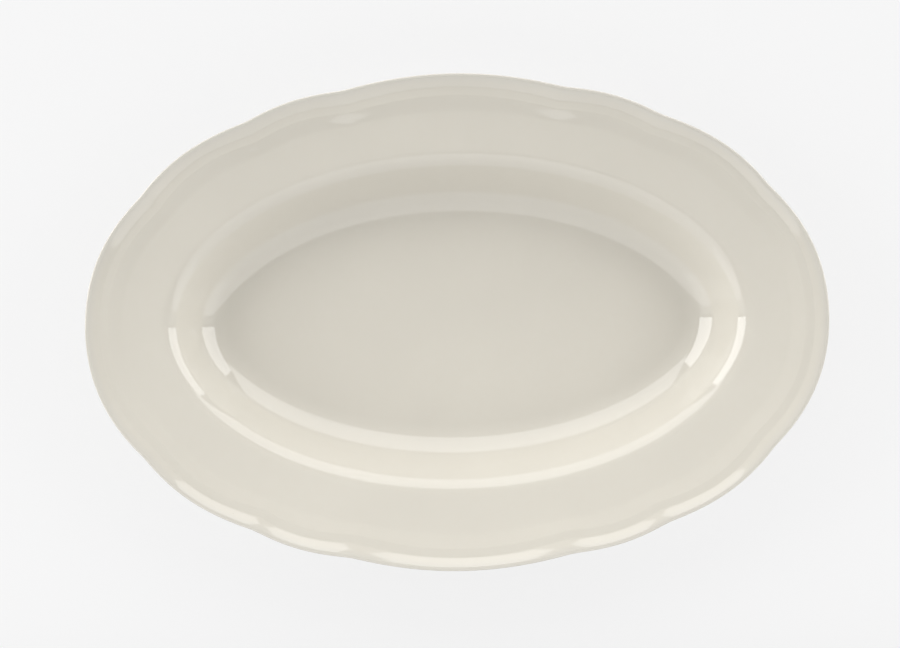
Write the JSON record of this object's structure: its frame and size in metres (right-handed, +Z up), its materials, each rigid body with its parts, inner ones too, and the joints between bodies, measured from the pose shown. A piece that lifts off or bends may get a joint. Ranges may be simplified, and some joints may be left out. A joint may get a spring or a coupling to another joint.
{
  "type": "oval serving platter",
  "caption": "Oval china platter with a softly scalloped edge, a moulded border, a broad flat rim, a sloping wall, a flat well and a foot ring.",
  "frame": {"origin": "on the table, under the centre of the foot ring", "axes": "+Z up out of the well, +X along the oval, +Y across it"},
  "size_m": [0.26, 0.1738, 0.028],
  "materials": {
    "china": "fired, unglazed, matt",
    "glaze": "clear gloss glaze over cream china"
  },
  "bodies": {
    "root": {"body": "china", "outer_glaze": "glaze", "base_glaze": "glaze"}
  },
  "joints": []
}
